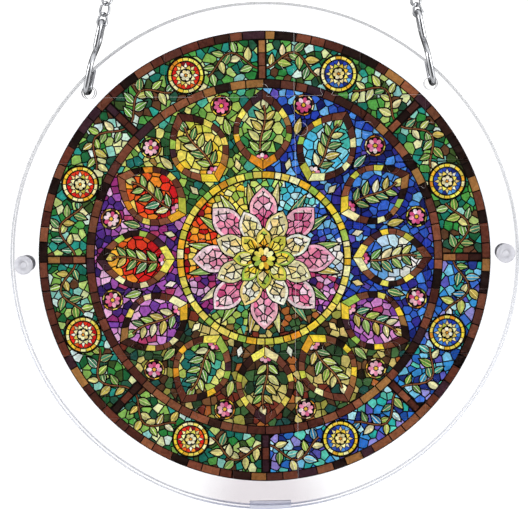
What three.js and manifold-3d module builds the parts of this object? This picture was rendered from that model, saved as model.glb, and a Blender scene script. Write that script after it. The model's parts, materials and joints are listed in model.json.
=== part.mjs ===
import * as THREE from 'three';
import { mergeVertices } from 'three/addons/utils/BufferGeometryUtils.js';
import Module from 'manifold-3d';

// Hanging suncatcher: a printed jigsaw disc held between two clear plates, on two chains that
// meet in one ring. Millimetres, +Z up, front towards -Y. The origin is the inside top of the
// ring, where it rests on a hook.

const wasm = await Module();
wasm.setup();

// Gap between pieces that touch
const fitGap = 0.3;

// Clear plates
const plateDiameter = 200;
const plateThickness = 3;
const plateFacets = 60;
const notchWidth = 16.5;
const notchDepth = 3.2;
const notchStep = 1;

// Clear margin between the jigsaw disc and the rim of the plates
const marginWidth = 11;

// Jigsaw disc
const puzzleThickness = 3;
const piecesAcross = 7;
const kerf = 0.3;
const lineSway = 1.3;
const knobReach = 5;
const knobShoulder = 3;
const knobHead = 5.6;
const knobNeck = 3.4;
const puzzleTurn = THREE.MathUtils.degToRad(1);

// Holes for the hooks and rivets, all on one circle along the middle of the margin
const hangHoleDiameter = 5;
const hangHoleAngle = THREE.MathUtils.degToRad(45);
const holeFacets = 12;

// Snap rivets
const rivetShankDiameter = 4.4;
const rivetClearance = 0.15;
const rivetHeadDiameter = 7.4;
const rivetHeadHeight = 1.5;
const rivetTipDiameter = 6.6;
const rivetTipHeight = 1.7;
const rivetChamfer = 0.5;
const rivetFacets = 10;

// S-hooks
const hookWireDiameter = 2.2;
const hookHeight = 30.4;
const hookBend = 3.2;
const hookSideGap = 0.5;
const hookCrownRadius = 3.5;
const hookFrontTip = 10.2;
const hookBackTip = 8.6;
const hookRimClearance = 3.8;
const hookSides = 5;
const hookSteps = 28;

// Chain
const linkWireDiameter = 1.1;
const linkLength = 6.5;
const linkWidth = 4.6;
const linkContact = 0.15;
const linksLeft = 66;
const linksRight = 65;

// Hanging ring
const ringDiameter = 17;
const ringWireDiameter = 1.8;
const ringFacets = 18;
const ringSides = 6;

// Worked out from the sizes above
const plateRadius = plateDiameter / 2;
const puzzleRadius = plateRadius - marginWidth;
const holeCircle = plateRadius - marginWidth / 2;
const puzzleSpace = puzzleThickness + 2 * fitGap;
const stackThickness = 2 * plateThickness + puzzleSpace;
const rivetHoleDiameter = rivetShankDiameter + 2 * rivetClearance;
const hookWireRadius = hookWireDiameter / 2;
const ringRadius = (ringDiameter - ringWireDiameter) / 2;
const ringInside = ringRadius - ringWireDiameter / 2;

// A link's section is a triangle with its ridge inwards, so links bear ridge on ridge
const linkSection = 0.6 * linkWireDiameter;
const linkPitch = linkLength - 2 * linkWireDiameter;
const linkInside = (linkPitch - linkContact) / 2;

function solid(geometry) {
  const bare = geometry.clone();
  bare.deleteAttribute('normal');
  bare.deleteAttribute('uv');
  const merged = mergeVertices(bare, 1e-5);
  return new wasm.Manifold(new wasm.Mesh({
    numProp: 3,
    vertProperties: new Float32Array(merged.attributes.position.array),
    triVerts: new Uint32Array(merged.index.array),
  }));
}

function geometryOf(body) {
  const mesh = body.getMesh();
  const geometry = new THREE.BufferGeometry();
  geometry.setAttribute('position', new THREE.BufferAttribute(mesh.vertProperties, 3));
  geometry.setIndex(new THREE.BufferAttribute(mesh.triVerts, 1));
  geometry.computeVertexNormals();
  return geometry;
}

function piece(name, geometry, look) {
  const mesh = new THREE.Mesh(geometry, new THREE.MeshStandardMaterial(look));
  mesh.name = name;
  return mesh;
}

// Points of a circle in the XZ plane, drawn in a shape's own x and y
function circle(radius, facets, x = 0, y = 0) {
  return Array.from({ length: facets }, (_, k) => {
    const angle = (2 * Math.PI * k) / facets;
    return new THREE.Vector2(x + radius * Math.cos(angle), y + radius * Math.sin(angle));
  });
}

// Slab of an upright outline, from y = 0 towards the front
function slab(outline, thickness, holes = []) {
  const shape = new THREE.Shape(outline);
  shape.holes = holes.map((points) => new THREE.Path(points));
  const geometry = new THREE.ExtrudeGeometry(shape, { depth: thickness, bevelEnabled: false });
  return geometry.rotateX(Math.PI / 2);
}

// Clear plates

const acrylic = { color: 0xeaf0f2, roughness: 0.05, metalness: 0, transparent: true, opacity: 0.3 };

function plateGeometry() {
  const holes = [];
  for (const side of [-1, 1]) {
    const x = side * holeCircle * Math.sin(hangHoleAngle);
    const y = holeCircle * Math.cos(hangHoleAngle);
    holes.push(circle(hangHoleDiameter / 2, holeFacets, x, y));
    holes.push(circle(rivetHoleDiameter / 2, holeFacets, side * holeCircle, 0));
  }
  return slab(circle(plateRadius, plateFacets), plateThickness, holes);
}

// The front plate has a shallow notch in its inner face at the bottom, for prising the plates apart
function frontPlateGeometry() {
  const overcut = 1;
  const notch = new THREE.BoxGeometry(notchWidth, 2 * notchStep, notchDepth + overcut);
  notch.translate(0, 0, -plateRadius + (notchDepth - overcut) / 2);
  return geometryOf(solid(plateGeometry()).subtract(solid(notch)));
}

const plates = new THREE.Group();
const frontPlate = piece('front_plate', frontPlateGeometry(), acrylic);
frontPlate.position.y = -puzzleSpace / 2;
const backPlate = piece('back_plate', plateGeometry(), acrylic);
backPlate.position.y = puzzleSpace / 2 + plateThickness;
plates.add(frontPlate, backPlate);

// Snap rivets: a flat head in front, a smaller tapered tip behind

const rivetLook = { color: 0xdcdce2, roughness: 0.2, metalness: 0, transparent: true, opacity: 0.6 };

function rivetGeometry() {
  const shank = rivetShankDiameter / 2;
  const head = rivetHeadDiameter / 2;
  const tip = rivetTipDiameter / 2;
  const face = stackThickness / 2 + fitGap;
  const profile = [
    [0, -face - rivetHeadHeight],
    [head - rivetChamfer, -face - rivetHeadHeight],
    [head, -face - rivetHeadHeight + rivetChamfer],
    [head, -face],
    [shank, -face],
    [shank, face],
    [tip, face],
    [shank, face + rivetTipHeight],
    [0, face + rivetTipHeight],
  ];
  return new THREE.LatheGeometry(profile.map(([x, y]) => new THREE.Vector2(x, y)), rivetFacets);
}

for (const [name, side] of [['left_rivet', -1], ['right_rivet', 1]]) {
  const rivet = piece(name, rivetGeometry(), rivetLook);
  rivet.position.x = side * holeCircle;
  plates.add(rivet);
}

// Jigsaw disc: a square grid of gently swaying lines, each with one knob, cut to a circle

const cell = (2 * puzzleRadius) / piecesAcross;
const half = piecesAcross / 2;

function gridPoint(column, row) {
  const point = new THREE.Vector2((column - half) * cell, (half - row) * cell);
  const calm = Math.max(0, 1 - point.length() / puzzleRadius);
  point.x += lineSway * calm * Math.sin(2.3 * column + 1.7 * row);
  point.y += lineSway * calm * Math.cos(1.9 * column - 2.6 * row);
  // The outermost lines lie clear of the disc
  for (const axis of ['x', 'y']) {
    if (Math.abs(point[axis]) > (half - 0.5) * cell) point[axis] += Math.sign(point[axis]) * cell;
  }
  return point;
}

function hasPiece(column, row) {
  const inner = [column, row].map((index) => Math.max(0, Math.abs(index - (piecesAcross - 1) / 2) - 0.5));
  const inGrid = Math.min(column, row) >= 0 && Math.max(column, row) < piecesAcross;
  return inGrid && Math.hypot(...inner) * cell < puzzleRadius - knobReach;
}

// Where a line from start runs into the disc and out of it, as two distances along it
function insideSpan(start, along, length) {
  const middle = -start.dot(along);
  const chord = Math.sqrt(Math.max(0, middle ** 2 - start.lengthSq() + puzzleRadius ** 2));
  return [Math.max(0, middle - chord), Math.min(length, middle + chord)];
}

// Points of one grid line from start up to end, with a knob on the side that toSide gives. A line
// that the rim shortens by more than a knob's head stays plain.
function gridLine(start, end, toSide) {
  const along = end.clone().sub(start).normalize();
  const [first, last] = insideSpan(start, along, start.distanceTo(end));
  if (toSide === 0 || last - first < cell - knobHead) return [start];
  const across = new THREE.Vector2(-along.y, along.x).multiplyScalar(toSide);
  const centre = start.clone().addScaledVector(along, (first + last) / 2);
  const at = (run, rise) => centre.clone().addScaledVector(along, run).addScaledVector(across, rise);
  return [
    start,
    at(-knobNeck / 2, 0),
    at(-knobHead / 2, knobShoulder),
    at(0, knobReach),
    at(knobHead / 2, knobShoulder),
    at(knobNeck / 2, 0),
  ];
}

// Which way a line's knob points: 1 is up or left, -1 is down or right
function knobSide(column, row, upright) {
  return (7 * column + 5 * row + column * row + (upright ? 1 : 0)) % 4 < 2 ? 1 : -1;
}

function pieceOutline(column, row) {
  const corners = [[0, 1], [1, 1], [1, 0], [0, 0]].map(([c, r]) => gridPoint(column + c, row + r));
  const neighbours = [[0, 1], [1, 0], [0, -1], [-1, 0]];
  const points = [];
  neighbours.forEach(([c, r], side) => {
    const joined = hasPiece(column + c, row + r);
    const upright = c !== 0;
    const owner = [column + Math.max(c, 0), row + Math.max(r, 0)];
    // Both pieces of a line read the same side, each along its own way round
    const turn = side < 2 ? 1 : -1;
    const toSide = joined ? turn * knobSide(...owner, upright) : 0;
    points.push(...gridLine(corners[side], corners[(side + 1) % 4], toSide));
  });
  return points;
}

// The outline drawn in by a distance, corner by corner
function drawnIn(points, distance) {
  return points.map((point, k) => {
    const before = point.clone().sub(points.at(k - 1)).normalize();
    const after = points[(k + 1) % points.length].clone().sub(point).normalize();
    const inwards = new THREE.Vector2(-before.y - after.y, before.x + after.x).normalize();
    const spread = Math.max(0.4, inwards.dot(new THREE.Vector2(-before.y, before.x)));
    return point.clone().addScaledVector(inwards, distance / spread);
  });
}

// Leading colour of the print at each place: leaves above, dusk and fire left, water right
function pieceColour(column, row) {
  const x = (column + 0.5 - half) / half;
  const y = (half - row - 0.5) / half;
  if (Math.hypot(x, y) > 0.8) return y < 0 && x > 0 ? 0x2f5f8c : 0x35633a;
  if (y > 0.35) return 0x7fa05a;
  if (y < -0.35) return 0x8a6a3c;
  return x < 0 ? 0xc4532c : 0x3b5fa6;
}

const puzzle = new THREE.Group();
puzzle.rotation.y = puzzleTurn;
puzzle.position.y = puzzleThickness / 2;
const discBlank = slab(circle(puzzleRadius, plateFacets), 3 * puzzleThickness);
const disc = solid(discBlank).translate([0, puzzleThickness, 0]);
for (let row = 0; row < piecesAcross; row += 1) {
  for (let column = 0; column < piecesAcross; column += 1) {
    if (!hasPiece(column, row)) continue;
    const outline = drawnIn(pieceOutline(column, row), kerf / 2);
    const body = solid(slab(outline, puzzleThickness)).intersect(disc);
    const look = { color: pieceColour(column, row), roughness: 0.25, metalness: 0 };
    puzzle.add(piece(`puzzle_piece_r${row + 1}c${column + 1}`, geometryOf(body), look));
  }
}
plates.add(puzzle);

// S-hooks: a square-cornered loop through both plates below, a round crown in the chain above.
// The hook's own frame has its crown at the origin and its loops in the YZ plane.

const steel = { color: 0xb9bcc0, roughness: 0.22, metalness: 1 };
const hookSpan = hookHeight - hookWireDiameter;
const hookReach = stackThickness / 2 + hookSideGap + hookWireRadius;

// The front strand keeps upright until it is clear of the rim above its hole
const hookFrontRise = marginWidth / 2 / Math.cos(hangHoleAngle) + hookRimClearance;

function hookPath() {
  const points = [];
  const add = (y, z) => points.push(new THREE.Vector3(0, y, z));
  const bend = (y, z, radius, from, to, count) => {
    for (let k = 0; k <= count; k += 1) {
      const angle = THREE.MathUtils.degToRad(from + ((to - from) * k) / count);
      add(y + radius * Math.cos(angle), z + radius * Math.sin(angle));
    }
  };
  const low = -hookSpan;
  add(-hookCrownRadius, -hookFrontTip);
  bend(0, -hookCrownRadius, hookCrownRadius, 180, 0, 6);
  add(hookCrownRadius, -hookCrownRadius - hookWireDiameter * 2);
  add(-hookReach, low + hookFrontRise);
  bend(-hookReach + hookBend, low + hookBend, hookBend, 180, 270, 3);
  bend(hookReach - hookBend, low + hookBend, hookBend, 270, 360, 3);
  add(hookReach, low + hookBackTip);
  return new THREE.CatmullRomCurve3(points, false, 'centripetal');
}

function hookGeometry() {
  const section = new THREE.Shape(circle(hookWireRadius, hookSides));
  const settings = { steps: hookSteps, bevelEnabled: false, extrudePath: hookPath() };
  return new THREE.ExtrudeGeometry(section, settings);
}

// The loop's bends climb inside the hole, so the wire sits this far above the hole's centre
const bendIn = hookBend - hookWireRadius - hookSideGap;
const bendTop = hookBend - Math.sqrt((hookBend - hookWireRadius) ** 2 - bendIn ** 2);
const holeInside = (hangHoleDiameter / 2) * Math.cos(Math.PI / holeFacets);
const hookSeat = holeInside - fitGap - bendTop;

// Chain: each link turned a quarter against the last, the whole leg eased so that its lowest
// link faces the front and its top link stands across the ring

function linkGeometry() {
  const bend = linkSection;
  // Four corners; the section is drawn out on the corners' diagonals
  const link = new THREE.TorusGeometry(bend, -linkSection * Math.SQRT2, 3, 4);
  link.rotateZ(Math.PI / 4).scale(1, 1, Math.SQRT1_2);
  const corner = bend * Math.SQRT1_2;
  const apart = [(linkWidth - linkWireDiameter) / 2 - corner, linkInside + linkSection - corner];
  const position = link.attributes.position;
  for (let k = 0; k < position.count; k += 1) {
    const [column, row] = [k % 5, Math.floor(k / 5)];
    const angle = Math.PI / 4 + (column * Math.PI) / 2;
    position.setX(k, position.getX(k) + Math.sign(Math.cos(angle)) * apart[0]);
    position.setY(k, position.getY(k) + Math.sign(Math.sin(angle)) * apart[1]);
  }
  return link.rotateX(Math.PI / 2);
}

const topLink = ringInside - fitGap + linkInside;

function chainGeometry(count) {
  const link = solid(linkGeometry());
  const quarterTurns = count % 2 === 0 ? count - 1 : count - 2;
  const links = Array.from({ length: count }, (_, k) => {
    const turn = 90 - (90 * quarterTurns * k) / (count - 1);
    return link.rotate([0, 0, turn]).translate([0, 0, -topLink - k * linkPitch]);
  });
  return geometryOf(links.reduce((chain, next) => chain.add(next)));
}

// Distances down a leg from the ring's centre
const crownAt = (count) => topLink + (count - 1) * linkPitch + linkInside - fitGap - hookWireRadius;
const holeAt = (count) => crownAt(count) + hookSpan + hookSeat;

// The plates hang with their centre under the ring, which a longer left leg turns a little
const holeX = holeCircle * Math.sin(hangHoleAngle);
const holeZ = holeCircle * Math.cos(hangHoleAngle);
const apexX = (holeAt(linksLeft) ** 2 - holeAt(linksRight) ** 2) / (4 * holeX);
const apexZ = holeZ + Math.sqrt(holeAt(linksLeft) ** 2 - (apexX + holeX) ** 2);
const plateTurn = Math.atan2(apexX, apexZ);
const plateDrop = Math.hypot(apexX, apexZ);
plates.rotation.y = -plateTurn;
plates.position.z = -plateDrop;

function leg(side, count, chainName, hookName) {
  const hole = new THREE.Vector3(side * holeX, 0, holeZ).applyMatrix4(
    new THREE.Matrix4().makeRotationY(-plateTurn).setPosition(0, 0, -plateDrop),
  );
  const group = new THREE.Group();
  group.rotation.y = Math.atan2(-hole.x, -hole.z);
  const hook = piece(hookName, hookGeometry(), steel);
  hook.position.z = -crownAt(count);
  group.add(piece(chainName, chainGeometry(count), steel), hook);
  return group;
}

// Hanging ring, upright in the plane of the plates

const ring = piece(
  'hanging_ring',
  new THREE.TorusGeometry(ringRadius, ringWireDiameter / 2, ringSides, ringFacets).rotateX(Math.PI / 2),
  steel,
);

const suncatcher = new THREE.Group();
suncatcher.position.z = -ringInside;
suncatcher.add(plates, ring);
suncatcher.add(leg(-1, linksLeft, 'left_chain', 'left_hook'));
suncatcher.add(leg(1, linksRight, 'right_chain', 'right_hook'));

export default suncatcher;
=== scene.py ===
import json
import math
import random

import bmesh
import bpy
from mathutils import Matrix, Vector
from mathutils.geometry import delaunay_2d_cdt


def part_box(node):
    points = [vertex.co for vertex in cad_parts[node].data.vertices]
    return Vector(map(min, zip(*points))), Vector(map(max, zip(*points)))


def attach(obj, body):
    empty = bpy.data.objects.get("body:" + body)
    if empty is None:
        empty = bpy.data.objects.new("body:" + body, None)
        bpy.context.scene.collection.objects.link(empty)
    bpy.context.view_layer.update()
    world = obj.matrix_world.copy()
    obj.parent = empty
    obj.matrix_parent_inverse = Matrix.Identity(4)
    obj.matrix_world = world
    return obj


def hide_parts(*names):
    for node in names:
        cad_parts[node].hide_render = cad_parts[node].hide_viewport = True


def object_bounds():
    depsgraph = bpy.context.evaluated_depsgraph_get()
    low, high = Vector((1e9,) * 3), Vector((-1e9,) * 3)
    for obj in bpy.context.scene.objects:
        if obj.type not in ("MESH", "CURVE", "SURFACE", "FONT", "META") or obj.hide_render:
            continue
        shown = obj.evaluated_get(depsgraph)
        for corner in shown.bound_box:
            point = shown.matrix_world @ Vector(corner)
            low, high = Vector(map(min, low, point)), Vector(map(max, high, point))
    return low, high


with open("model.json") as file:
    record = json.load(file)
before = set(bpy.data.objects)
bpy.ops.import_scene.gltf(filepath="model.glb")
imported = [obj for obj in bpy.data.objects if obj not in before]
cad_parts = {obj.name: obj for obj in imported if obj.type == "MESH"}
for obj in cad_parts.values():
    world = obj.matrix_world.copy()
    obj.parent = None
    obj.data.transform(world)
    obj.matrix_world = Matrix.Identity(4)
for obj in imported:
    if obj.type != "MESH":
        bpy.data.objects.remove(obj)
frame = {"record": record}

cadLow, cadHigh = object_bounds()
mm = 0.001
scene = bpy.context.scene


# Where things hang, read off the frame

def boxCentre(node):
    low, high = (Vector(corner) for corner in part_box(node))
    return (low + high) / 2


def boxSize(node):
    low, high = (Vector(corner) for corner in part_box(node))
    return (high - low) / mm


discCentre = (boxCentre("front_plate") + boxCentre("back_plate")) / 2
acrossRivets = boxCentre("right_rivet") - boxCentre("left_rivet")
plateTurn = math.atan2(acrossRivets.z, acrossRivets.x)
plateRadius = boxSize("back_plate").x / 2
holeCircle = acrossRivets.length / 2 / mm
plateSheet = boxSize("back_plate").y
puzzleSheet = boxSize("puzzle_piece_r4c4").y
backFace = boxCentre("back_plate").y / mm + plateSheet / 2
ringCentre = boxCentre("hanging_ring")


def standUp(turn):
    # millimetres on the disc's face, y up and z to the front, into the frame
    return (Matrix.Translation(discCentre) @ Matrix.Rotation(-turn, 4, "Y")
            @ Matrix.Rotation(math.pi / 2, 4, "X") @ Matrix.Scale(mm, 4))


def legPlace(chain, down=0.0):
    # millimetres in a leg's own frame, z up the leg from the middle of its chain, into the frame
    way = boxCentre(chain) - ringCentre
    turn = math.atan2(-way.x, -way.z)
    return (Matrix.Translation(boxCentre(chain)) @ Matrix.Rotation(turn, 4, "Y")
            @ Matrix.Scale(mm, 4) @ Matrix.Translation((0, 0, -down)))


# Small helpers

def toLinear(hexColour):
    channels = [int(hexColour[k:k + 2], 16) / 255 for k in (0, 2, 4)]
    return tuple(c / 12.92 if c <= 0.04045 else ((c + 0.055) / 1.055) ** 2.4 for c in channels) + (1.0,)


def feed(node, links):
    # gives each named input a value or a link; a node stands for its first output in use
    for name, value in links.items():
        into = node.inputs[name] if isinstance(name, int) else next(
            s for s in node.inputs if s.name == name and s.enabled)
        if isinstance(value, bpy.types.Node):
            value = next(s for s in value.outputs if s.enabled)
        if isinstance(value, bpy.types.NodeSocket):
            node.id_data.links.new(value, into)
        else:
            into.default_value = value


def addNode(tree, kind, links=None, **settings):
    node = tree.nodes.new(kind)
    for name, value in settings.items():
        setattr(node, name, value)
    feed(node, links or {})
    return node


def newMaterial(name, **values):
    material = bpy.data.materials.new(name)
    material.use_nodes = True
    tree = material.node_tree
    shader = tree.nodes["Principled BSDF"]
    feed(shader, {name.replace("_", " "): value for name, value in values.items()})
    place = addNode(tree, "ShaderNodeTexCoord").outputs["Object"]
    return material, tree, shader, place


def grainyMaterial(name, scale, colours, rough=None, detail=2.0, **values):
    # two shades mixed by a fine noise, which can vary the roughness too
    material, tree, shader, place = newMaterial(name, **values)
    grain = addNode(tree, "ShaderNodeTexNoise", {"Vector": place, "Scale": scale, "Detail": detail})
    shade = addNode(tree, "ShaderNodeMix", {
        "Factor": grain, "A": toLinear(colours[0]), "B": toLinear(colours[1])}, data_type="RGBA")
    feed(shader, {"Base Color": shade})
    if rough:
        feed(shader, {"Roughness": addNode(tree, "ShaderNodeMapRange", {
            "Value": grain, "To Min": rough[0], "To Max": rough[1]})})
    return material, tree, shader, place, shade


def addPiece(name, mesh, materials, slot, *nodes):
    faceMaterials = [face.material_index for face in mesh.polygons]
    mesh.materials.clear()
    for material in materials:
        mesh.materials.append(material)
    mesh.polygons.foreach_set("material_index", faceMaterials)
    piece = bpy.data.objects.new(name, mesh)
    scene.collection.objects.link(piece)
    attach(piece, "root")
    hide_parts(*nodes)
    return piece


def smoothTo(mesh, degrees):
    mesh.shade_smooth()
    mesh.set_sharp_from_angle(angle=math.radians(degrees))


def weld(mesh, distance):
    shape = bmesh.new()
    shape.from_mesh(mesh)
    bmesh.ops.remove_doubles(shape, verts=shape.verts, dist=distance)
    bmesh.ops.recalc_face_normals(shape, faces=shape.faces)
    shape.to_mesh(mesh)
    shape.free()


def setInPlace(mesh, place, degrees):
    mesh.transform(place)
    weld(mesh, 0.002 * mm)
    smoothTo(mesh, degrees)
    return mesh


def newMesh(name, verts, faces):
    mesh = bpy.data.meshes.new(name)
    mesh.from_pydata(verts, [], faces)
    return mesh


def shapeMesh(name, shape):
    mesh = bpy.data.meshes.new(name)
    shape.to_mesh(mesh)
    shape.free()
    return mesh


def meshOf(maker):
    # plain mesh of a curve, or of an object with modifiers, which is then removed
    scene.collection.objects.link(maker)
    graph = bpy.context.evaluated_depsgraph_get()
    mesh = bpy.data.meshes.new_from_object(maker.evaluated_get(graph))
    bpy.data.objects.remove(maker)
    return mesh


# Materials

def nearFoot(tree, place, near, far):
    # 1 within one distance of the foot of the rim, 0 beyond another
    foot = discCentre - Vector((0, 0, plateRadius * mm))
    distance = addNode(tree, "ShaderNodeVectorMath", {0: place, 1: foot}, operation="DISTANCE")
    return addNode(tree, "ShaderNodeMapRange", {
        "Value": distance, "From Min": far, "From Max": near}, interpolation_type="SMOOTHSTEP")


# Cast clear acrylic sheet: glass clear and very smooth, with painted shade round the foot: a faint grey
# tint standing in for the shade and reflections in the sheet's lower margin
def clearAcrylic():
    material, tree, shader, place = newMaterial(
        "clearCastAcrylic", IOR=1.491, Transmission_Weight=1.0, Roughness=0.0, Specular_IOR_Level=0.3)
    # painted shade: the sheet turns grey near the foot of the rim
    shade = addNode(tree, "ShaderNodeMix", {
        "Factor": nearFoot(tree, place, 0.01, 0.034), "A": toLinear("fefeff"), "B": toLinear("eeebed")},
        data_type="RGBA")
    feed(shader, {"Base Color": shade})
    return material


# The same sheet's cut edges: polished by flame, but still a little rough; their grey is painted shade
# for the grey line the edges show, and towards the foot painted light makes them paler and bluer
def flamedEdge():
    material, tree, shader, place, shade = grainyMaterial(
        "flamedAcrylicEdge", 160.0, ("96979a", "b6b7b9"), (0.14, 0.34),
        IOR=1.491, Transmission_Weight=0.75)
    # painted light and shade: the edges turn paler towards the foot, and blue-grey just at the foot
    for near, far, colour in ((0.1, 0.19, "e3e5ec"), (0.01, 0.04, "b9bed3")):
        shade = addNode(tree, "ShaderNodeMix", {
            "Factor": nearFoot(tree, place, near, far), "A": shade, "B": toLinear(colour)},
            data_type="RGBA")
    feed(shader, {"Base Color": shade})
    return material


# Natural nylon snap rivet: moulded, pale and a little cloudy
def cloudyNylon():
    return grainyMaterial("cloudyNylon", 700.0, ("e4e4e9", "b4b4bd"),
                          IOR=1.53, Transmission_Weight=0.5, Roughness=0.3)[0]


# Nickel-plated steel wire: drawn and tumbled bright, so its gloss varies a little along it
def brightSteel():
    return grainyMaterial("brightSteelWire", 900.0, ("d4d5d8", "b2b4b8"), (0.24, 0.38), 3.0,
                          Metallic=1.0)[0]


# Ink printed flat on acrylic: satin, with the streaks that rolled glass has
def printedAcrylic():
    material, tree, shader, place = newMaterial(
        "printedAcrylic", IOR=1.49, Roughness=0.4, Specular_IOR_Level=0.1)
    ink = addNode(tree, "ShaderNodeVertexColor", layer_name="ink")
    streaks = addNode(tree, "ShaderNodeTexNoise", {
        "Vector": place, "Scale": 520.0, "Detail": 3.0, "Distortion": 1.2})
    strength = addNode(tree, "ShaderNodeMapRange", {
        "Value": streaks, "From Min": 0.3, "From Max": 0.7, "To Min": 0.72, "To Max": 1.3})
    shade = addNode(tree, "ShaderNodeVectorMath", {0: ink, "Scale": strength}, operation="SCALE")
    feed(shader, {"Base Color": shade})
    return material


# Clear plates

plateSettings = {
    "bevel": 0.5,
    "rimSteps": 48,           # curve steps in each quarter of the rim
    "hangHole": 2.5,          # radii
    "rivetHole": 2.35,
    "hangAngle": 45,
    "holeSides": 48,
    "notch": (16.5, 3.2, 1.0),     # width, depth from the rim, step
}


def rimCurve(radius, steps):
    curve = bpy.data.curves.new("plateRim", "CURVE")
    curve.dimensions = "2D"
    curve.fill_mode = "BOTH"
    spline = curve.splines.new("BEZIER")
    spline.bezier_points.add(3)
    spline.use_cyclic_u = True
    spline.resolution_u = steps
    reach = radius * 0.5522847      # handle length that makes a quarter circle
    for k, point in enumerate(spline.bezier_points):
        c, s = round(math.cos(k * math.pi / 2)), round(math.sin(k * math.pi / 2))
        point.co = (radius * c, radius * s, 0)
        point.handle_left = (point.co.x + reach * s, point.co.y - reach * c, 0)
        point.handle_right = (point.co.x - reach * s, point.co.y + reach * c, 0)
    return curve


def plateMesh(s, middle, notched):
    curve = rimCurve(plateRadius, s["rimSteps"])
    curve.extrude = plateSheet / 2 - s["bevel"]
    curve.bevel_depth = s["bevel"]
    curve.bevel_resolution = 1
    curve.offset = -s["bevel"]
    mesh = meshOf(bpy.data.objects.new("plateMaker", curve))
    weld(mesh, 0.002)
    mesh = cutAway(mesh, plateCutter(s, notched))
    for face in mesh.polygons:
        polished = abs(face.normal.z) > 0.98 and abs(face.center.z) > plateSheet / 2 - 0.01
        face.material_index = 0 if polished else 1
    mesh.transform(standUp(plateTurn) @ Matrix.Translation((0, 0, middle)))
    smoothTo(mesh, 12)
    return mesh


def plateCutter(s, notched):
    # the drilled holes, and a shallow step at the foot of the inner face, for prising the plates apart
    cutter = bmesh.new()
    angle = math.radians(s["hangAngle"])
    for side in (-1, 1):
        for radius, x, y in (
                (s["hangHole"], math.sin(angle), math.cos(angle)), (s["rivetHole"], 1, 0)):
            place = Matrix.Translation((side * holeCircle * x, holeCircle * y, 0))
            bmesh.ops.create_cone(cutter, cap_ends=True, segments=s["holeSides"], radius1=radius,
                                  radius2=radius, depth=2 * plateSheet, matrix=place)
    if notched:
        width, depth, step = s["notch"]
        place = Matrix.Translation((0, -plateRadius, -plateSheet / 2))
        bmesh.ops.create_cube(
            cutter, size=1, matrix=place @ Matrix.Diagonal((width, 2 * depth, 2 * step, 1)))
    return shapeMesh("plateCutter", cutter)


def cutAway(mesh, cutterMesh):
    cutter = bpy.data.objects.new("cutter", cutterMesh)
    scene.collection.objects.link(cutter)
    plate = bpy.data.objects.new("plateBlank", mesh)
    cut = plate.modifiers.new("cut", "BOOLEAN")
    cut.object = cutter
    cut.operation = "DIFFERENCE"
    result = meshOf(plate)
    bpy.data.objects.remove(cutter)
    return result


# Rivets: turned profiles round the hole's axis

rivetSettings = {
    "head": 3.7, "headHeight": 1.5, "shank": 2.2, "tip": 3.3, "tipHeight": 1.7,
    "gap": 0.3, "round": 0.45, "dimple": 1.5, "dimpleDepth": 0.4, "segments": 48,
}


def rivetProfile(s):
    head, shank, tip, dimple, curve = (s[k] for k in ("head", "shank", "tip", "dimple", "round"))
    face = backFace + s["gap"]
    top, end = -face - s["headHeight"], face + s["tipHeight"]
    points = [(0, top + s["dimpleDepth"]), (dimple - 0.3, top + s["dimpleDepth"]),
              (dimple, top + 0.12), (dimple + 0.2, top)]
    for k in range(5):
        turn = math.radians(90 * k / 4)
        points.append((head - curve + curve * math.sin(turn), top + curve - curve * math.cos(turn)))
    return points + [
        (head, -face - 0.12), (head - 0.12, -face), (shank, -face), (shank, face), (tip - 0.12, face),
        (tip, face + 0.15), (shank + 0.25, end - 0.2), (shank, end), (0, end)]


def turnedMesh(name, profile, segments):
    # turns (radius, y) points round the Y axis; the first and last lie on it
    verts = [(0, profile[0][1], 0), (0, profile[-1][1], 0)]
    rings = []
    for radius, y in profile[1:-1]:
        rings.append(range(len(verts), len(verts) + segments))
        for k in range(segments):
            angle = 2 * math.pi * k / segments
            verts.append((radius * math.cos(angle), y, radius * math.sin(angle)))
    faces = []
    for k in range(segments):
        n = (k + 1) % segments
        faces += [(0, rings[0][k], rings[0][n]), (1, rings[-1][n], rings[-1][k])]
        faces += [(a[k], b[k], b[n], a[n]) for a, b in zip(rings, rings[1:])]
    return newMesh(name, verts, faces)


def rivetMesh(node):
    mesh = turnedMesh(node, rivetProfile(rivetSettings), rivetSettings["segments"])
    x, _, z = boxCentre(node)
    return setInPlace(mesh, Matrix.Translation((x, discCentre.y, z)) @ Matrix.Scale(mm, 4), 35)


# Print: stained-glass drawing in millimetres on the disc's face, x to the right and y up

printSettings = {
    "seed": 7,
    "lead": 0.5,              # dark line between two glasses
    "leadColour": "120b07",
    "rimBricks": (85.6, 88.9, 84),     # inner radius, outer radius, how many
    "innerBricks": (66.9, 70.2, 72),
    "beads": (31.6, 34.4, 56),
    "clear": 0.2,             # between a ring of bricks and what lies next to it
    "roundelCircle": 77.9,
    "roundelRadius": 6.9,
    "mullion": (1.9, 1.35),   # half the width of its lead, and of its bricks
    "petals": 12,
    "petalSpan": (34.9, 66.2),
    "petalHalf": 11.6,
    "petalBorder": 2.3,
    "roseRadius": 31.2,
    "rosePetals": (           # from, to, half width, glass, turn
        (9, 28.5, 5.6, "blossom", 0), (5, 20.5, 4.4, "cream", 22.5), (2.5, 12.5, 2.9, "gold", 0)),
    "shards": {               # spacing, and how far they are drawn out
        "outer": (2.5, 1.8), "middle": (2.6, 1.5), "petal": (3.3, 1.3), "rose": (2.4, 1.2),
        "round": (2.0, 2.0)},
}
vineSettings = {
    "swing": 3.6, "start": 21.4, "run": 15.5,     # off the roundels' circle, and degrees from a roundel
    "leafLength": (4.8, 6.4), "lean": 52, "stem": 0.7, "stemColour": "8a5230",
}
spraySettings = {"lean": 46, "sway": 1.1, "stem": 0.7, "stemColour": "9a6238", "flower": 2.7}

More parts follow.
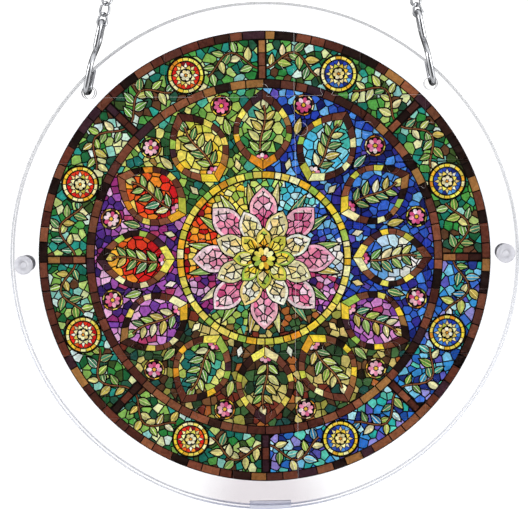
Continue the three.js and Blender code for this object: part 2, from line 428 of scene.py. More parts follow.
palettes = {name: colours.split() for name, colours in {
    "brick": "3a2019 54291f 6a3526 7c4430 94583a 41262f 5c3228 a8743e 281814 804c34",
    "forest": ("1f6a3a 2f8f40 58a948 90c35a c4dc7c 1b7a68 2b9f90 92d2c8 d8efe4 "
               "3f5a28 275c44 6b442a e8ecb0"),
    "water": "1e52ad 2d74cf 3c9ce2 7acbec 2ab0a4 60d0bc 5f5cc0 9a92dc 243688 4078de b4e4f0",
    "fire": "8c1420 c4161c e2201c ee3a1e f0641f f79026 fbb534 fddc66",
    "gold": "e39424 f0b82e f9d83c fbec66 fdf6b4 f0dc62 cfd04a a2c850",
    "leaf": "25663f 338c4c 60ad50 9aca5a cfe276 eef0a8 43a08a 88d2bc",
    "sky": "1f8cbe 2faee0 56c6ea 90dcf0 d0f0f6 f6fcfc 43b8aa 74dcd0",
    "moon": "2040b0 3a6cd2 68a6e6 9ccdf2 cde4f4 eef0e6 fbf6e0 ffffff",
    "night": "161f64 1c2c88 2640b4 3462cc 488cde 78beea 342e90 6250b4",
    "dusk": "341e66 562e8a 7c42a8 a858b6 d088cc e8b6dc 9c327a c44470",
    "earth": "30261a 573a24 7c5430 2e4a2e 46703e a09c44 d8c874 245850 7c3222 b86a30",
    "meadow": "2c5a32 488a40 78b04c b4cc5c e4e480 247c72 52b8a0 9a783a",
    "blossom": "d04a7c e36d98 ee94b2 f6bccb fbe0e4",
    "cream": "fbf4cc f7e8a6 f2dc90 fdfae8 e9e0ac",
    "foliage": "6fae44 a2c850 cfdc68 e8e690 5c9a58 d8c458 8fc060 f3efba 4a9c74",
}.items()}

drawing = {"outlines": [], "colours": [], "within": []}
discMiddle = Vector((0, 0))


def polar(radius, degrees):
    return Vector((math.cos(math.radians(degrees)), math.sin(math.radians(degrees)))) * radius


def arc(centre, radius, start, end, count):
    return [centre + polar(radius, start + (end - start) * k / count) for k in range(count + 1)]


def disc(centre, radius, count):
    return arc(centre, radius, 0, 360, count)[:-1]


def sector(inner, outer, start, end, steps, innerSteps=None, centre=discMiddle):
    return arc(centre, outer, start, end, steps) + arc(centre, inner, end, start, innerSteps or steps)


def directions(degrees):
    # outwards from the middle at that angle, and sideways
    return polar(1, degrees), polar(1, degrees + 90)


def bar(angle, low, high, lowHalf, highHalf):
    # a straight strip that points outwards, given half its width at either end
    out, side = directions(angle)
    return [out * low - side * lowHalf, out * high - side * highHalf,
            out * high + side * highHalf, out * low + side * lowHalf]


def astride(spine, reaches):
    # the points to the right and to the left of a spine
    return [p - r for p, r in zip(spine, reaches)], [p + r for p, r in zip(spine, reaches)]


def leftOf(way):
    return Vector((-way.y, way.x))


def swung(way, degrees):
    return Matrix.Rotation(math.radians(degrees), 2) @ way


def signedArea(points):
    return sum(a.cross(b) for a, b in zip(points, points[1:] + points[:1])) / 2


def drawnIn(points, distance):
    # an anticlockwise outline moved inwards, corner by corner
    moved = []
    for k, point in enumerate(points):
        before = (point - points[k - 1]).normalized()
        after = (points[(k + 1) % len(points)] - point).normalized()
        inwards = Vector((-before.y - after.y, before.x + after.x)).normalized()
        spread = max(0.45, inwards.dot(leftOf(before)))
        moved.append(point + inwards * distance / spread)
    return moved


def isInside(point, outline):
    inside = False
    for a, b in zip(outline, outline[1:] + outline[:1]):
        if (a.y > point.y) != (b.y > point.y):
            crossing = a.x + (point.y - a.y) * (b.x - a.x) / (b.y - a.y)
            inside = inside != (point.x < crossing)
    return inside


def paint(points, colour=None, within=None, inset=0.0):
    # lays one outline over what is there, in lead if it has no colour; its number can clip others
    if signedArea(points) < 0:
        points = points[::-1]
    if inset:
        points = drawnIn(points, inset)
    if signedArea(points) > 0.02:
        drawing["outlines"].append(points)
        drawing["colours"].append(colour)
        drawing["within"].append(within)
    return len(drawing["outlines"]) - 1


def tint(hexColour, spread=0.13):
    # one glass is never quite like the next of its colour
    strength = 1 + random.uniform(-spread, spread)
    channels = toLinear(hexColour)[:3]
    return tuple(min(1, c * strength * (1 + random.uniform(-0.05, 0.05))) for c in channels) + (1,)


def pick(palette, place=None):
    colours = palettes[palette]
    if place is None:
        return tint(random.choice(colours))
    index = round(place * (len(colours) - 1) + random.gauss(0, 1.1))
    return tint(colours[min(len(colours) - 1, max(0, index))])


def glass(points, colour, lead):
    # a glass with its own lead line round it
    paint(points, None, None, -lead / 2)
    paint(points, colour, None, lead / 2)


def shards(panel, kind, colourAt, along):
    # fills a panel with leaded shards, drawn out in the direction along, in degrees
    spacing, stretch = printSettings["shards"][kind]
    outline = drawing["outlines"][panel]
    turn = Matrix.Rotation(math.radians(-along), 2)
    back = turn.inverted()
    local = [turn @ p for p in outline]
    wide, stray = spacing * stretch, 0.36
    lowX, highX = min(p.x for p in local) - wide, max(p.x for p in local) + wide
    lowY, highY = min(p.y for p in local) - spacing, max(p.y for p in local) + spacing
    rows = max(2, round((highY - lowY) / spacing))
    columns = max(2, round((highX - lowX) / wide))
    sites = []
    for row in range(rows + 1):
        for column in range(columns + 1):
            x = lowX + (column + 0.5 * (row % 2) + random.uniform(-stray, stray)) * spacing * stretch
            y = lowY + (row + random.uniform(-stray, stray)) * spacing
            sites.append(Vector((x, y)))
    found = delaunay_2d_cdt(sites, [], [], 0, 1e-6)
    near = {k: set() for k in range(len(sites))}
    for a, b in found[1]:
        for p in found[3][a]:
            for q in found[3][b]:
                near[p].add(q)
                near[q].add(p)
    reach = 2.2 * spacing * stretch       # of a shard before its neighbours cut it back
    for k, site in enumerate(sites):
        cell = [site + Vector(c) * reach for c in ((-1, -1), (1, -1), (1, 1), (-1, 1))]
        for other in near[k]:
            away = sites[other] - site
            limit = away.length / 2 - printSettings["lead"] / 2
            if len(cell) > 2:
                cell = cutBeyond(cell, site, away.normalized(), limit)
        cell = [back @ p for p in cell]
        if len(cell) > 2 and any(isInside(p, outline) for p in cell):
            paint(cell, colourAt(back @ site), panel)


def cutBeyond(points, origin, away, limit):
    # keeps the part of a convex outline up to a limit in one direction
    kept = []
    depths = [(p - origin).dot(away) - limit for p in points]
    for k, point in enumerate(points):
        n = (k + 1) % len(points)
        if depths[k] <= 0:
            kept.append(point)
        if (depths[k] < 0) != (depths[n] < 0):
            kept.append(point.lerp(points[n], depths[k] / (depths[k] - depths[n])))
    return kept


def brickRing(inner, outer, count, palette):
    step = 360 / count
    ends = [(k + random.uniform(-0.22, 0.22)) * step for k in range(count)]
    ends.append(ends[0] + 360)
    for start, end in zip(ends, ends[1:]):
        paint(sector(inner, outer, start, end, 2), pick(palette), None, printSettings["lead"] / 2)


def leaf(base, tip, width, within=None, palette="foliage"):
    # a leaf with a vein down its middle and a pale rim
    colour, rim = pick(palette), pick("cream")
    along = tip - base
    across = leftOf(along).normalized()
    shares = [k / 6 for k in range(1, 6)]
    spine = [base + along * t for t in shares]
    right, left = astride(spine, [across * (math.sin(math.pi * t ** 0.8) * width / 2) for t in shares])
    whole = [base] + right + [tip] + left[::-1]
    lead = printSettings["lead"]
    paint(whole, None, within, -lead * 0.9)
    paint(whole, rim, within, lead * 0.3)
    vein = across * lead * 0.26
    for side, edge in ((1, left), (-1, right)):
        half = [p + (q - p) * 0.7 + vein * side for p, q in zip(spine, edge)]
        paint([base + along * 0.1 + vein * side] + half + [base + along * 0.9 + vein * side],
              colour if side > 0 else tuple(c * 0.68 for c in colour[:3]) + (1,), within)


def flower(centre, radius, petals, palette, eye, turn=0.0, within=None):
    # round petals on a dark ground, and an eye
    paint(disc(centre, radius + 0.45, 16), None, within)
    for k in range(petals):
        heading = turn + 360 * k / petals
        heart = centre + polar(radius * 0.64, heading)
        half = radius * 0.36
        wide = radius * math.sin(math.pi / petals) * 0.72
        out, side = directions(heading)
        points = [heart + out * half * math.cos(a) + side * wide * math.sin(a)
                  for a in (math.radians(45 * j) for j in range(8))]
        paint(points, pick(palette), within, 0.04)
    paint(disc(centre, radius * 0.3, 10), None, within)
    paint(disc(centre, radius * 0.22, 8), tint(eye), within)


def ribbon(path, width, colour, within):
    # a stem along a path, cut into glasses by fine lines
    across = []
    for k, point in enumerate(path):
        along = path[min(k + 1, len(path) - 1)] - path[max(k - 1, 0)]
        across.append(leftOf(along).normalized())
    lead = printSettings["lead"]
    for grow, shade in ((lead / 2, None), (-lead / 4, colour)):
        right, left = astride(path, [n * (width / 2 + grow) for n in across])
        paint(left + right[::-1], shade, within)
    for k in range(2, len(path) - 1, 2):
        along = Vector((across[k].y, -across[k].x)) * 0.14
        half = across[k] * width / 2
        paint([path[k] - along - half, path[k] + along - half,
               path[k] + along + half, path[k] - along + half], None, within)


def sideOf(angle):
    # fire to the left, leaves above, night to the right, earth below
    order = "moon night sky leaf gold fire fire dusk meadow earth earth dusk".split()
    return order[round((angle % 360) / 30) % 12]


def outerBand():
    # sixteen leafy panels between mullions and flower roundels
    s = printSettings
    inner, outer = s["innerBricks"][1] + s["clear"], s["rimBricks"][0] - s["clear"]
    for k in range(8):
        start, end, centre = 45 * k + 1.3, 45 * (k + 1) - 1.3, 45 * k + 22.5
        panel = paint(sector(inner, outer, start, end, 10, 9))
        wet = 270 < centre < 345
        for first in (start, centre):
            half = paint(sector(inner, outer, first, first + 21.2, 6, 5), None, panel)
            shards(half, "outer", lambda p: pick("water" if wet else "forest"), first + 10.6)
        for side in (-1, 1):
            vine(centre, side, wet, panel)
        roundel(centre)
        mullion(45 * k, inner, outer)


def vine(centre, side, wet, panel):
    s = vineSettings

    def onVine(t):
        swing = s["swing"] * math.sin(math.pi * (1.9 * t - 0.45))
        way = centre + side * (s["start"] - s["run"] * t)
        return polar(printSettings["roundelCircle"] + swing, way)

    path = [onVine(k / 10) for k in range(11)]
    for k in range(1, 10):
        along = (onVine((k + 0.5) / 10) - onVine((k - 0.5) / 10)).normalized()
        out = swung(along, s["lean"] if k % 2 else -s["lean"])
        size = random.uniform(*s["leafLength"])
        palette = "sky" if wet and k % 3 == 0 else "foliage"
        leaf(path[k] + out * 0.2, path[k] + out * size, size * 0.5, panel, palette)
    ribbon(path, s["stem"], tint(s["stemColour"]), panel)


def mullion(angle, inner, outer):
    lead, brick = printSettings["mullion"]
    paint(bar(angle, inner - 0.3, outer + 0.3, lead, lead))
    for k in range(3):
        low, high = (inner + (outer - inner) * j / 3 for j in (k, k + 1))
        paint(bar(angle, low, high, brick, brick), pick("brick"), None, 0.2)


def roundel(angle):
    # a ring of beads round sixteen wedges, two stars of eight kites and a flower
    s = printSettings
    centre = polar(s["roundelCircle"], angle)
    radius = s["roundelRadius"]
    paint(disc(centre, radius + 0.7, 28))
    for k in range(18):
        bead = sector(radius - 1.3, radius, 20 * k, 20 * k + 20, 2, centre=centre)
        paint(bead, pick("gold", random.uniform(0.2, 0.6)), None, 0.14)
    inside = radius - 1.6
    ground = "fire" if 112 < angle < 248 else "leaf" if 68 < angle < 292 else "night"
    for k in range(16):
        wedge = [centre] + arc(centre, inside, 22.5 * k, 22.5 * k + 22.5, 2)
        paint(wedge, pick(ground, 0.35), None, 0.1)
    for turn, reach, palette in ((angle + 22.5, 0.98, "cream"), (angle, 0.8, "gold")):
        for k in range(8):
            out, side = directions(turn + 45 * k)
            waist, half = centre + out * inside * 0.55, side * inside * 0.19
            kite = [centre + out * inside * 0.2, waist - half,
                    centre + out * inside * reach, waist + half]
            glass(kite, pick(palette, 0.6), 0.3)
    flower(centre, inside * 0.42, 6, "cream", "d98a22", angle)


def petalOutline(angle, inset, steps=9):
    s = printSettings
    low, high = s["petalSpan"][0] + inset * 1.6, s["petalSpan"][1] - inset * 1.6
    out, side = directions(angle)
    shares = [k / steps for k in range(steps + 1)]
    spine = [out * (low + (high - low) * t) for t in shares]
    half = s["petalHalf"] - inset
    return astride(spine, [side * half * math.sin(math.pi * t ** 0.92) ** 0.8 for t in shares])


def petalPanel(angle):
    # a pointed panel: a border of small bricks, shards inside, and a leafy spray up the middle
    s = spraySettings
    palette = sideOf(angle)
    right, left = petalOutline(angle, 0)
    paint(right + left[-2:0:-1], None, None, -0.25)
    inRight, inLeft = petalOutline(angle, printSettings["petalBorder"])
    for outer, inner in ((right, inRight), (left, inLeft)):
        for k in range(len(outer) - 1):
            brick = [outer[k], outer[k + 1], inner[k + 1], inner[k]]
            paint(brick, pick("brick" if k % 3 else "gold"), None, 0.17)
    panel = paint(inRight + inLeft[-2:0:-1], None, None, 0.1)
    low, high = printSettings["petalSpan"]
    shards(panel, "petal", lambda p: pick(palette, (p.length - low) / (high - low)), angle)
    out, side = directions(angle)
    sway = random.choice((-1, 1))

    def onStem(t):
        swing = side * sway * s["sway"] * math.sin(2 * math.pi * t)
        return out * (low + 3 + (high - low - 7) * t) + swing

    path = [onStem(k / 12) for k in range(12)]
    for k in (2, 4, 6, 8):
        for lean in (-1, 1):
            heading = swung(out, lean * s["lean"])
            size = 7.2 - 0.25 * k if k > 2 else 5.6
            start = path[k] + heading * 0.4
            leaf(start, start + heading * size, size * 0.48, panel)
    leaf(path[10], path[10] + out * 6.0, 2.9, panel)
    ribbon(path, s["stem"], tint(s["stemColour"]), panel)
    flower(onStem(0.04), s["flower"], 7, "blossom", "f2c53c", angle, panel)


def middleZone():
    # deeper glass, and on it pointed panels with a small flower, a leaf and a kite between
    s = printSettings
    start, end = s["beads"][1] + s["clear"], s["innerBricks"][0] - s["clear"]
    deeper = {"moon": "night", "sky": "night", "gold": "meadow", "fire": "dusk", "meadow": "earth"}
    step = 360 / s["petals"]
    for k in range(s["petals"]):
        panel = paint(sector(start, end, step * k, step * k + step, 8, 5))
        palette = sideOf(step * k + step / 2)
        palette = deeper.get(palette, palette)
        shards(panel, "middle", lambda p: pick(palette, random.uniform(0, 0.9)), step * k)
    for k in range(s["petals"]):
        petalPanel(step * k)
    for k in range(s["petals"]):
        between = step * (k + 0.5)
        centre = polar(end - 4.6, between)
        paint(disc(centre, 4.4, 20))
        for j in range(12):
            bead = sector(3.3, 4.15, 30 * j, 30 * j + 30, 1, centre=centre)
            paint(bead, pick("gold" if j % 2 else "brick"), None, 0.12)
        flower(centre, 3.1, 8, "blossom", "f2c53c", between)
        leaf(polar(end - 16.5, between), polar(end - 9.6, between), 3.0)
        kite = ((1.0, 0), (3.4, -2.2), (6.4, 0), (3.4, 2.2))
        kite = [polar(start + out, between + aside) for out, aside in kite]
        glass(kite, pick("cream"), s["lead"])


def rose():
    # the centre flower: three rings of eight petals on shards and leaves
    s = printSettings
    radius = s["roseRadius"]
    for k in range(12):
        panel = paint([discMiddle] + arc(discMiddle, radius, 30 * k - 15, 30 * k + 15, 5))
        palette = sideOf(30 * k)
        shards(panel, "rose", lambda p: pick(palette, random.uniform(0.2, 1)), 30 * k)
    for k in range(16):
        heading = 22.5 * k + 11.25
        leaf(polar(17, heading), polar(radius - 0.8, heading), 3.4)
    for low, high, half, palette, turn in s["rosePetals"]:
        for k in range(8):
            roundPetal(45 * k + turn, low, high, half, palette)
    flower(discMiddle, 4.6, 10, "gold", "b5551d")


def roundPetal(angle, low, high, half, palette):
    # a pale rim round slender glasses, deeper towards the heart, and a rib up the middle
    out, side = directions(angle)
    shares = [k / 9 for k in range(10)]
    layers = ((None, high, 1.06), (pick(palette, 0.95), high - 0.45, 0.96), (None, high - 1.5, 0.76))
    for shade, reach, wide in layers:
        spine = [out * (low + (reach - low) * t) for t in shares]
        bulge = [0.32 + 0.68 * math.sin(math.pi * t ** 1.3) ** 0.8 for t in shares]
        right, left = astride(spine, [side * (half * wide * b * (1 - t ** 9))
                                      for b, t in zip(bulge, shares)])
        panel = paint(right + left[-2::-1], shade)
    shards(panel, "round", lambda p: pick(palette, (p.length - low) / (high - low)), angle)
    paint(bar(angle, low, high - 3, 0.2, 0.1), None, panel)


def designPrint():
    random.seed(printSettings["seed"])
    paint(disc(discMiddle, jigsawSettings["radius"], 180))
    for name in ("rimBricks", "innerBricks"):
        brickRing(*printSettings[name], "brick")
    outerBand()
    middleZone()
    rose()
    brickRing(*printSettings["beads"], "gold")


# Jigsaw: a grid of gently swaying lines with one knob each, cut to the disc

jigsawSettings = {
    "radius": 89.0,
    "turn": 1.0,              # the print sits turned a degree against the plates
    "across": 7,
    "kerf": 0.07,
    "sway": 1.3,
    "knobReach": 5.0,
    "knobRadius": 2.6,
    "knobNeck": 3.4,
    "knobHead": 5.6,
    "side": "8f8f8c",         # colour of the cut edges
}
sideInk = 32700               # stands for a cut edge while a piece is made


def gridPoint(column, row):
    s = jigsawSettings
    half, cell = s["across"] / 2, 2 * s["radius"] / s["across"]
    point = Vector(((column - half) * cell, (half - row) * cell))
    calm = max(0, 1 - point.length / s["radius"])
    sway = Vector((math.sin(2.3 * column + 1.7 * row), math.cos(1.9 * column - 2.6 * row)))
    point += s["sway"] * calm * sway
    for axis in (0, 1):
        if abs(point[axis]) > (half - 0.5) * cell:      # the outermost lines lie clear of the disc
            point[axis] += math.copysign(cell, point[axis])
    return point


def hasPiece(column, row):
    s = jigsawSettings
    cell = 2 * s["radius"] / s["across"]
    inner = [max(0, abs(index - (s["across"] - 1) / 2) - 0.5) for index in (column, row)]
    inGrid = min(column, row) >= 0 and max(column, row) < s["across"]
    return inGrid and math.hypot(*inner) * cell < s["radius"] - s["knobReach"]


def gridLine(start, end, toSide):
    # points of one grid line from start up to end, with a round knob on one side of it
    s = jigsawSettings
    cell = 2 * s["radius"] / s["across"]
    along = (end - start).normalized()
    middle = -start.dot(along)
    chord = math.sqrt(max(0, middle ** 2 - start.length_squared + s["radius"] ** 2))
    first, last = max(0, middle - chord), min((end - start).length, middle + chord)
    if toSide == 0 or last - first < cell - s["knobHead"]:
        return [start]
    across = leftOf(along) * toSide
    centre = start + along * (first + last) / 2
    foot = s["knobNeck"] / 2
    knob = [(-foot - 0.7, 0), (-foot - 0.05, 0.25)]
    knob += [(s["knobRadius"] * math.cos(a), s["knobReach"] - s["knobRadius"] * (1 - math.sin(a)))
             for a in (math.radians(225 - 27 * k) for k in range(11))]
    knob += [(foot + 0.05, 0.25), (foot + 0.7, 0)]
    return [start] + [centre + along * run + across * rise for run, rise in knob]


def knobSide(column, row, upright):
    return 1 if (7 * column + 5 * row + column * row + upright) % 4 < 2 else -1


def pieceOutline(column, row):
    corners = [gridPoint(column + c, row + r) for c, r in ((0, 1), (1, 1), (1, 0), (0, 0))]
    points = []
    for side, (c, r) in enumerate(((0, 1), (1, 0), (0, -1), (-1, 0))):
        turn = 1 if side < 2 else -1       # both pieces of a line read the same side
        toSide = turn * knobSide(column + max(c, 0), row + max(r, 0), abs(c))
        if not hasPiece(column + c, row + r):
            toSide = 0
        points += gridLine(corners[side], corners[(side + 1) % 4], toSide)
    return drawnIn(points, jigsawSettings["kerf"] / 2)


def cutPrint(outlines):
    # cuts the drawing and the jigsaw apart in one plane: points, and each piece's coloured triangles
    drawn = len(drawing["outlines"])
    verts, faces = [], []
    for outline in drawing["outlines"] + [outline for _, outline in outlines]:
        faces.append(range(len(verts), len(verts) + len(outline)))
        verts += outline
    found = delaunay_2d_cdt(verts, [], faces, 1, 1e-4)
    pieces = {name: [] for name, _ in outlines}
    inks = [toLinear(printSettings["leadColour"])]
    inkOf = [0] * drawn
    for number, colour in enumerate(drawing["colours"]):
        if colour:
            inkOf[number] = len(inks)
            inks.append(colour)
    for corners, covers in zip(found[2], found[5]):
        piece = next((k for k in covers if k >= drawn), None)
        if piece is None or 0 not in covers:
            continue
        top = max(k for k in covers if k < drawn
                  and (drawing["within"][k] is None or drawing["within"][k] in covers))
        pieces[outlines[piece - drawn][0]].append((corners, inkOf[top]))
    return found[0], pieces, inks


def pieceMesh(name, points, triangles, inks):
    # one jigsaw piece: the print on its front, the same seen through from behind, and plain edges
    shape = bmesh.new()
    order = dict.fromkeys(k for corners, _ in triangles for k in corners)
    used = {k: shape.verts.new(points[k].to_3d()) for k in order}
    for corners, ink in triangles:
        shape.faces.new([used[k] for k in corners]).material_index = ink
    shape.normal_update()
    for face in shape.faces:
        if face.normal.z < 0:
            face.normal_flip()
    bmesh.ops.dissolve_limit(shape, angle_limit=0.01, use_dissolve_boundaries=False,
                             verts=shape.verts, edges=shape.edges, delimit={"MATERIAL"})
    bmesh.ops.triangulate(shape, faces=[face for face in shape.faces if len(face.verts) > 4])
    shape.verts.index_update()
    seen, doubled = set(), []
    for face in shape.faces:
        corners = frozenset(vert.index for vert in face.verts)
        if corners in seen:
            doubled.append(face)
        seen.add(corners)
    bmesh.ops.delete(shape, geom=doubled, context="FACES_ONLY")
    front = list(shape.faces)
    rim = [edge for edge in shape.edges if len(edge.link_faces) == 1]
    back = {}
    for vert in list(shape.verts):
        back[vert] = shape.verts.new((vert.co.x, vert.co.y, -puzzleSheet / 2))
        vert.co.z = puzzleSheet / 2
    for face in front:
        shape.faces.new([back[v] for v in reversed(face.verts)]).material_index = face.material_index
    for edge in rim:
        loop = edge.link_loops[0]
        a, b = loop.vert, loop.link_loop_next.vert
        shape.faces.new((b, a, back[a], back[b])).material_index = sideInk
    mesh = shapeMesh(name, shape)
    side = toLinear(jigsawSettings["side"])
    colours = []
    for face in mesh.polygons:
        colour = side if face.material_index == sideInk else inks[face.material_index]
        colours += colour * face.loop_total
    mesh.color_attributes.new("ink", "FLOAT_COLOR", "CORNER").data.foreach_set("color", colours)
    mesh.polygons.foreach_set("material_index", [0] * len(mesh.polygons))
    mesh.transform(standUp(plateTurn - math.radians(jigsawSettings["turn"])))
    return mesh


# Wire: hooks and ring

hookSettings = {
    "wire": 2.2, "height": 30.4, "bend": 3.2, "crown": 3.5, "frontTip": 10.2, "backTip": 8.6,
    "sideGap": 0.5, "rimClearance": 3.8, "seatGap": 0.3, "sides": 16, "steps": 10,
}
ringSettings = {"diameter": 17.0, "wire": 1.8, "split": 1.6, "splitAt": 70, "sides": 20, "steps": 96}
linkSettings = {
    "wire": 1.1, "length": 6.5, "width": 4.6, "contact": 0.15, "twist": 90.0,
    "sides": 6, "cornerSteps": 4, "lowTurn": 24.0, "topTurn": 45.0, "eased": 5,
}


def smoothPath(points, steps):
    # centripetal curve through the points, with a few steps between each two
    ends = [2 * points[0] - points[1]] + points + [2 * points[-1] - points[-2]]
    path = []
    for a, b, c, d in zip(ends, ends[1:], ends[2:], ends[3:]):
        t = [0]
        for p, q in ((a, b), (b, c), (c, d)):
            t.append(t[-1] + math.sqrt((q - p).length))
        for k in range(steps):
            u = t[1] + (t[2] - t[1]) * k / steps
            ab, bc, cd = (p + (q - p) * (u - t[n]) / (t[n + 1] - t[n])
                          for n, (p, q) in enumerate(((a, b), (b, c), (c, d))))
            abc = ab + (bc - ab) * (u - t[0]) / (t[2] - t[0])
            bcd = bc + (cd - bc) * (u - t[1]) / (t[3] - t[1])
            path.append(abc + (bcd - abc) * (u - t[1]) / (t[2] - t[1]))
    return path + [points[-1]]


def wireMesh(name, path, radius, sides, rounded):
    # a wire along a path in one plane, with ends that are round or cut square
    last = len(path) - 1
    along = [(path[min(k + 1, last)] - path[max(k - 1, 0)]).normalized() for k in range(last + 1)]
    flat = along[0].cross(along[len(path) // 3]).normalized()
    caps = [(0, 0.98)]        # how far out, and how wide
    if rounded:
        caps = [(math.sin(math.radians(a)), math.cos(math.radians(a))) for a in (80, 55, 30)]
    rings = [(path[0] - along[0] * radius * out, along[0], radius * wide) for out, wide in caps]
    rings += [(p, a, radius) for p, a in zip(path, along)]
    rings += [(path[-1] + along[-1] * radius * out, along[-1], radius * wide)
              for out, wide in reversed(caps)]
    verts, faces = [], []
    for centre, way, size in rings:
        side = way.cross(flat)
        for k in range(sides):
            angle = 2 * math.pi * k / sides
            verts.append(centre + (flat * math.cos(angle) + side * math.sin(angle)) * size)
    for n in range(len(rings) - 1):
        for k in range(sides):
            a, b = n * sides + k, n * sides + (k + 1) % sides
            faces.append((a, b, b + sides, a + sides))
    faces.append(tuple(range(sides))[::-1])
    faces.append(tuple(range(len(verts) - sides, len(verts))))
    return newMesh(name, verts, faces)


def hookMesh(s, chain):
    radius = s["wire"] / 2
    low = -(s["height"] - s["wire"])
    reach = backFace + s["sideGap"] + radius
    overRim = (plateRadius - holeCircle) / math.cos(math.radians(plateSettings["hangAngle"]))
    rise = overRim + s["rimClearance"]
    bend = s["bend"]

    def bent(y, z, size, start, end, count):
        return [Vector((0, y + size * math.cos(a), z + size * math.sin(a)))
                for a in (math.radians(start + (end - start) * k / count) for k in range(count + 1))]

    points = [Vector((0, -s["crown"], -s["frontTip"]))]
    points += bent(0, -s["crown"], s["crown"], 180, 0, 6)
    points += [Vector((0, s["crown"], -s["crown"] - 2 * s["wire"])), Vector((0, -reach, low + rise))]
    points += bent(bend - reach, low + bend, bend, 180, 270, 3)
    points += bent(reach - bend, low + bend, bend, 270, 360, 3)
    points += [Vector((0, reach, low + s["backTip"]))]
    mesh = wireMesh("hook", smoothPath(points, s["steps"]), radius, s["sides"], True)
    halfChain = (linkCount(chain) - 1) / 2 * linkPitch()
    crown = halfChain + (linkPitch() - linkSettings["contact"]) / 2 - s["seatGap"] - radius
    return setInPlace(mesh, legPlace(chain, crown), 60)


def ringMesh(s):
    radius = (s["diameter"] - s["wire"]) / 2
    path = []
    for k in range(s["steps"] + 1):
        a = math.radians(s["splitAt"] + s["split"] / 2 + (360 - s["split"]) * k / s["steps"])
        path.append(Vector((radius * math.cos(a), 0, radius * math.sin(a))))
    mesh = wireMesh("ring", path, s["wire"] / 2, s["sides"], False)
    return setInPlace(mesh, Matrix.Translation(ringCentre) @ Matrix.Scale(mm, 4), 60)


# Chains: curb links, each bent a quarter turn between its ends so that all lie the same way

def linkPitch():
    return linkSettings["length"] - 2 * linkSettings["wire"]


def linkCount(chain):
    s = linkSettings
    size = boxSize(chain)
    way = boxCentre(chain) - ringCentre
    turn = math.atan2(abs(way.x), -way.z)
    leg = (size.z - s["width"] * math.sin(turn)) / math.cos(turn)
    return round((leg - s["length"]) / linkPitch()) + 1


def chainMesh(s, chain):
    # geometry nodes: one bent link, repeated down a line whose ends are eased into a turn
    last = linkCount(chain) - 1
    width, height = s["width"] - s["wire"], s["length"] - s["wire"]
    tree = bpy.data.node_groups.new(chain, "GeometryNodeTree")
    tree.interface.new_socket("Geometry", in_out="OUTPUT", socket_type="NodeSocketGeometry")

    loop = addNode(tree, "GeometryNodeCurvePrimitiveQuadrilateral", {"Width": width, "Height": height})
    rounded = addNode(tree, "GeometryNodeFilletCurve", {
        "Curve": loop, "Radius": width * 0.499, "Count": s["cornerSteps"]}, mode="POLY")
    profile = addNode(tree, "GeometryNodeCurvePrimitiveCircle", {
        "Resolution": s["sides"], "Radius": s["wire"] / 2})
    wire = addNode(tree, "GeometryNodeCurveToMesh", {"Curve": rounded, "Profile Curve": profile})
    upright = addNode(tree, "GeometryNodeTransform", {
        "Geometry": wire, "Rotation": (math.pi / 2, 0, 0)})
    place = addNode(tree, "GeometryNodeInputPosition")
    level = addNode(tree, "ShaderNodeSeparateXYZ", {"Vector": place}).outputs["Z"]
    bend = addNode(tree, "ShaderNodeMapRange", {
        "Value": level, "From Max": height, "To Max": math.radians(s["twist"])}, clamp=False)
    bent = addNode(tree, "ShaderNodeVectorRotate", {
        "Vector": place, "Angle": bend}, rotation_type="Z_AXIS")
    link = addNode(tree, "GeometryNodeSetPosition", {"Geometry": upright, "Position": bent})

    line = addNode(tree, "GeometryNodeMeshLine", {
        "Count": last + 1, "Start Location": (0, 0, last * linkPitch() / 2),
        "Offset": (0, 0, -linkPitch())})
    index = addNode(tree, "GeometryNodeInputIndex")
    turn = addNode(tree, "ShaderNodeMapRange", {
        "Value": index, "From Max": s["eased"], "To Min": math.radians(s["topTurn"]), "To Max": 0})
    turn = addNode(tree, "ShaderNodeMapRange", {
        "Value": index, "From Min": last - s["eased"], "From Max": last,
        "To Min": turn, "To Max": math.radians(s["lowTurn"])})
    way = addNode(tree, "ShaderNodeCombineXYZ", {"Z": turn})
    links = addNode(tree, "GeometryNodeInstanceOnPoints", {
        "Points": line, "Instance": link, "Rotation": way})
    real = addNode(tree, "GeometryNodeRealizeInstances", {"Geometry": links})
    addNode(tree, "NodeGroupOutput", {"Geometry": real})

    maker = bpy.data.objects.new("chainMaker", bpy.data.meshes.new("chainMaker"))
    maker.modifiers.new("links", "NODES").node_group = tree
    return setInPlace(meshOf(maker), legPlace(chain), 80)


# The suncatcher

steel = brightSteel()
sheet = (clearAcrylic(), flamedEdge())
nylon = cloudyNylon()
printed = printedAcrylic()

frontMiddle = backFace - plateSheet / 2
for side, middle in (("front", frontMiddle), ("back", -frontMiddle)):
    mesh = plateMesh(plateSettings, middle, side == "front")
    addPiece(side + "Plate", mesh, sheet, "clear_acrylic", side + "_plate")
print("plates")

for side in ("left", "right"):
    addPiece(side + "Rivet", rivetMesh(side + "_rivet"), [nylon], "frosted_plastic", side + "_rivet")
    mesh = hookMesh(hookSettings, side + "_chain")
    addPiece(side + "Hook", mesh, [steel], "polished_steel", side + "_hook")
addPiece("hangingRing", ringMesh(ringSettings), [steel], "polished_steel", "hanging_ring")
print("rivets, hooks and ring")

for side in ("left", "right"):
    mesh = chainMesh(linkSettings, side + "_chain")
    addPiece(side + "Chain", mesh, [steel], "polished_steel", side + "_chain")
print("chains", [linkCount(side + "_chain") for side in ("left", "right")])

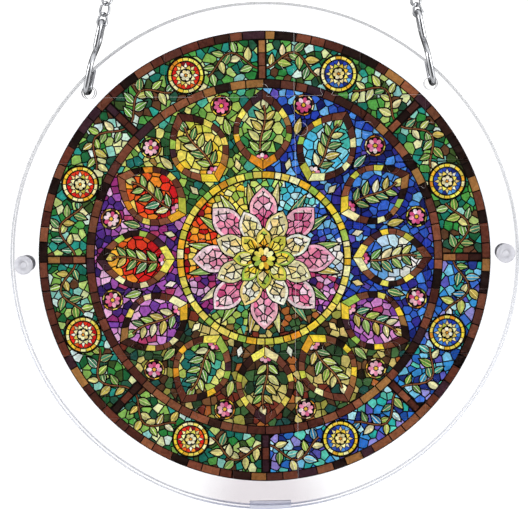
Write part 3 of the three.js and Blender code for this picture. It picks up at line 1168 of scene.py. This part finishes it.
designPrint()
print("print drawn,", len(drawing["outlines"]), "outlines")
across = jigsawSettings["across"]
outlines = [(f"puzzle_piece_r{row + 1}c{column + 1}", pieceOutline(column, row))
            for row in range(across) for column in range(across) if hasPiece(column, row)]
points, pieces, inks = cutPrint(outlines)
slots = {part["node"]: part["material_slot"] for part in frame["record"]["subparts"]}
faceCount = 0
for node, triangles in pieces.items():
    mesh = pieceMesh(node, points, triangles, inks)
    faceCount += len(mesh.polygons)
    addPiece("printed_" + node, mesh, [printed], slots[node], node)
print("jigsaw,", len(pieces), "pieces,", faceCount, "faces")

# Studio: a pale floor well below, white from all sides, and dark only in what gloss sees straight on

studioSettings = {
    "floorBelow": 1.2, "floorRadius": 2.2, "paper": ("f1f1f3", "fafafa"),
    "azimuth": 1.5, "elevation": 5.0, "distance": 640, "viewWidth": 208.7, "lookBelow": 1.0,
    "white": 1.28, "dark": 0.0,
    "cards": (((0, -1, 0), 0.4, 0.88), ((0, 1, 0), 0.15, 0.65), ((-0.83, -0.1, 0.55), 0.8, 0.93)),
    "softboxes": {"left": (-1.3, -0.9, 0.2), "right": (1.3, -0.9, 0.2)}, "softSize": 0.8, "power": 15,
}


def addFloor(s):
    shape = bmesh.new()
    level = Matrix.Translation((0, 0, cadLow[2] - s["floorBelow"]))
    bmesh.ops.create_circle(shape, cap_ends=True, radius=s["floorRadius"], segments=96, matrix=level)
    floor = bpy.data.objects.new("floor", shapeMesh("floor", shape))
    floor.data.materials.append(grainyMaterial("palePaper", 40.0, s["paper"], Roughness=0.9)[0])
    scene.collection.objects.link(floor)


def addCamera(s):
    camera = bpy.data.objects.new("camera", bpy.data.cameras.new("camera"))
    scene.collection.objects.link(camera)
    scene.camera = camera
    azimuth, elevation = math.radians(s["azimuth"]), math.radians(s["elevation"])
    back = Vector((math.sin(azimuth) * math.cos(elevation), -math.cos(azimuth) * math.cos(elevation),
                   math.sin(elevation)))
    camera.location = discCentre - Vector((0, 0, s["lookBelow"] * mm)) + back * s["distance"] * mm
    camera.rotation_euler = back.to_track_quat("Z", "Y").to_euler()
    camera.data.lens = camera.data.sensor_width * s["distance"] / s["viewWidth"]


def addWorld(s):
    # white paper all round, and black cards that only reflections see
    world = bpy.data.worlds.new("studio")
    scene.world = world
    world.use_nodes = True
    tree = world.node_tree
    place = addNode(tree, "ShaderNodeTexCoord").outputs["Generated"]
    cards = []
    for way, white, dark in s["cards"]:
        towards = addNode(tree, "ShaderNodeVectorMath", {0: place, 1: way}, operation="DOT_PRODUCT")
        cards.append(addNode(tree, "ShaderNodeMapRange", {
            "Value": towards, "From Min": white, "From Max": dark,
            "To Min": s["white"], "To Max": s["dark"]}, interpolation_type="SMOOTHSTEP"))
    darkest = cards[0]
    for card in cards[1:]:
        darkest = addNode(tree, "ShaderNodeMath", {0: darkest, 1: card}, operation="MINIMUM")
    bounce = addNode(tree, "ShaderNodeLightPath").outputs["Glossy Depth"]
    inGloss = addNode(tree, "ShaderNodeMath", {0: bounce, 1: 1.0}, operation="MINIMUM")
    strength = addNode(tree, "ShaderNodeMix", {"Factor": inGloss, "A": s["white"], "B": darkest})
    feed(tree.nodes["Background"], {"Color": (1, 1, 1, 1), "Strength": strength})


def addLights(s):
    for side, place in s["softboxes"].items():
        lamp = bpy.data.lights.new(side + "Softbox", "AREA")
        lamp.size, lamp.energy = s["softSize"], s["power"]
        light = bpy.data.objects.new(side + "Softbox", lamp)
        light.location = place
        light.rotation_euler = (Vector(place) - discCentre).to_track_quat("Z", "Y").to_euler()
        scene.collection.objects.link(light)


addFloor(studioSettings)
addCamera(studioSettings)
addWorld(studioSettings)
addLights(studioSettings)
scene.view_settings.view_transform = "Standard"
print("studio")
